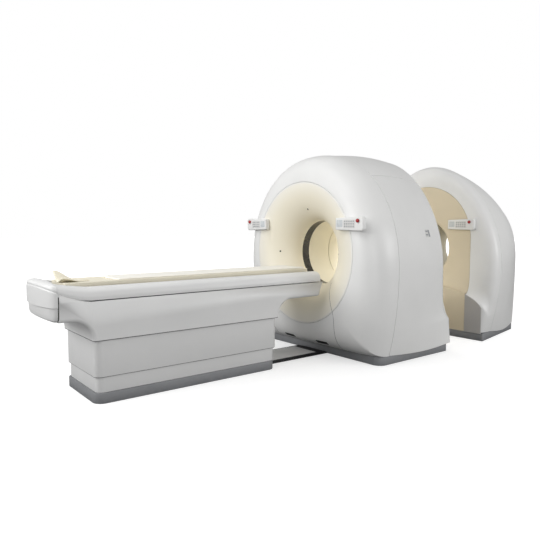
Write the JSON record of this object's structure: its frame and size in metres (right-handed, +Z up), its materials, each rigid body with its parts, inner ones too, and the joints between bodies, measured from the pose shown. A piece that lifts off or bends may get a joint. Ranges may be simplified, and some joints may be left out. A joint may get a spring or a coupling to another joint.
{
  "type": "pet-ct scanner",
  "caption": "Hospital scanner: a lifting patient table with a sliding pallet in line with a deep CT gantry and, behind an open gap, a PET gantry.",
  "frame": {"origin": "on the floor, midway between the table's foot end and the PET gantry's rear, on the symmetry plane", "axes": "+X along the bore axis from the table to the gantries, +Y to the left seen from the table, +Z up"},
  "size_m": [5.96, 2.088, 2.171],
  "materials": {
    "cover_white": "satin light grey-white moulding",
    "bore_cream": "satin cream moulding",
    "base_grey": "matte mid grey",
    "window_dark": "smooth black",
    "machined_steel": "machined",
    "painted_iron": "satin dark grey paint",
    "stop_red": "gloss red",
    "pad_cloth": "soft off-white coated cloth",
    "slip_brass": "turned"
  },
  "bodies": {
    "standing": {"table_lower_cover": "cover_white", "ct_front_cover": "cover_white", "ct_side_cover_left": "cover_white", "ct_side_cover_right": "cover_white", "ct_top_cover": "cover_white", "ct_rear_cover": "cover_white", "ct_panels": "cover_white", "pet_front_cover": "cover_white", "pet_cover_left": "cover_white", "pet_cover_right": "cover_white", "pet_rear_cover": "cover_white", "pet_panels": "cover_white", "ct_front_funnel": "bore_cream", "ct_bore_liner": "bore_cream", "ct_rear_funnel": "bore_cream", "pet_front_panel": "bore_cream", "pet_apron_center": "bore_cream", "pet_tunnel": "bore_cream", "table_skirt": "base_grey", "floor_duct": "base_grey", "ct_plinth": "base_grey", "pet_plinth": "base_grey", "pet_apron_sides": "base_grey", "cover_pulls": "base_grey", "ct_scan_window": "window_dark", "laser_windows": "window_dark", "front_latches": "window_dark", "table_base": "machined_steel", "lift_column_base": "machined_steel", "ct_base_frame": "machined_steel", "pet_base_frame": "machined_steel", "ct_main_bearing": "machined_steel", "ct_stator": "painted_iron", "pet_detector_frame": "painted_iron", "pet_detector_modules": "painted_iron", "pet_shields": "painted_iron"},
    "middle_cover": {"table_middle_cover": "cover_white"},
    "column_stage": {"lift_column_stage": "machined_steel"},
    "table_top": {"table_upper_cover": "cover_white", "lift_column_ram": "machined_steel", "top_frame": "painted_iron", "table_deck": "cover_white", "foot_end_cap": "cover_white", "slide_rails": "machined_steel"},
    "tabletop": {"pallet_carriage": "painted_iron", "pallet": "bore_cream", "pallet_pad": "pad_cloth", "head_holder": "bore_cream"},
    "ct_drum": {"ct_rotor": "painted_iron", "xray_tube": "machined_steel", "collimator": "painted_iron", "xray_generator": "painted_iron", "tube_cooler": "machined_steel", "detector_arc": "painted_iron", "slip_ring": "slip_brass"},
    "ct_left_button": {"ct_stop_left": "stop_red"},
    "ct_right_button": {"ct_stop_right": "stop_red"},
    "pet_left_button": {"pet_stop_left": "stop_red"},
    "pet_right_button": {"pet_stop_right": "stop_red"}
  },
  "joints": [
    {"name": "table_lift", "type": "slide", "parent": "standing", "child": "table_top", "axis": [0, 0, 1], "range_m": [-0.4, 0]},
    {"name": "middle_cover_slide", "type": "slide", "parent": "standing", "child": "middle_cover", "axis": [0, 0, 1], "range_m": [-0.12, 0]},
    {"name": "column_stage_slide", "type": "slide", "parent": "standing", "child": "column_stage", "axis": [0, 0, 1], "range_m": [-0.2, 0]},
    {"name": "pallet_slide", "type": "slide", "parent": "table_top", "child": "tabletop", "axis": [1, 0, 0], "range_m": [0, 1.9]},
    {"name": "drum_spin", "type": "hinge", "parent": "standing", "child": "ct_drum", "pos_m": [0.34, 0, 1.089], "axis": [1, 0, 0], "continuous": true},
    {"name": "ct_stop_left_press", "type": "slide", "parent": "standing", "child": "ct_left_button", "axis": [1, 0, 0], "range_m": [0, 0.005], "stiffness_N_per_m": 400},
    {"name": "ct_stop_right_press", "type": "slide", "parent": "standing", "child": "ct_right_button", "axis": [1, 0, 0], "range_m": [0, 0.005], "stiffness_N_per_m": 400},
    {"name": "pet_stop_left_press", "type": "slide", "parent": "standing", "child": "pet_left_button", "axis": [1, 0, 0], "range_m": [0, 0.005], "stiffness_N_per_m": 400},
    {"name": "pet_stop_right_press", "type": "slide", "parent": "standing", "child": "pet_right_button", "axis": [1, 0, 0], "range_m": [0, 0.005], "stiffness_N_per_m": 400}
  ],
  "couplings": [
    {"joint": "middle_cover_slide", "follows": "table_lift", "ratio": 0.3},
    {"joint": "column_stage_slide", "follows": "table_lift", "ratio": 0.5}
  ]
}
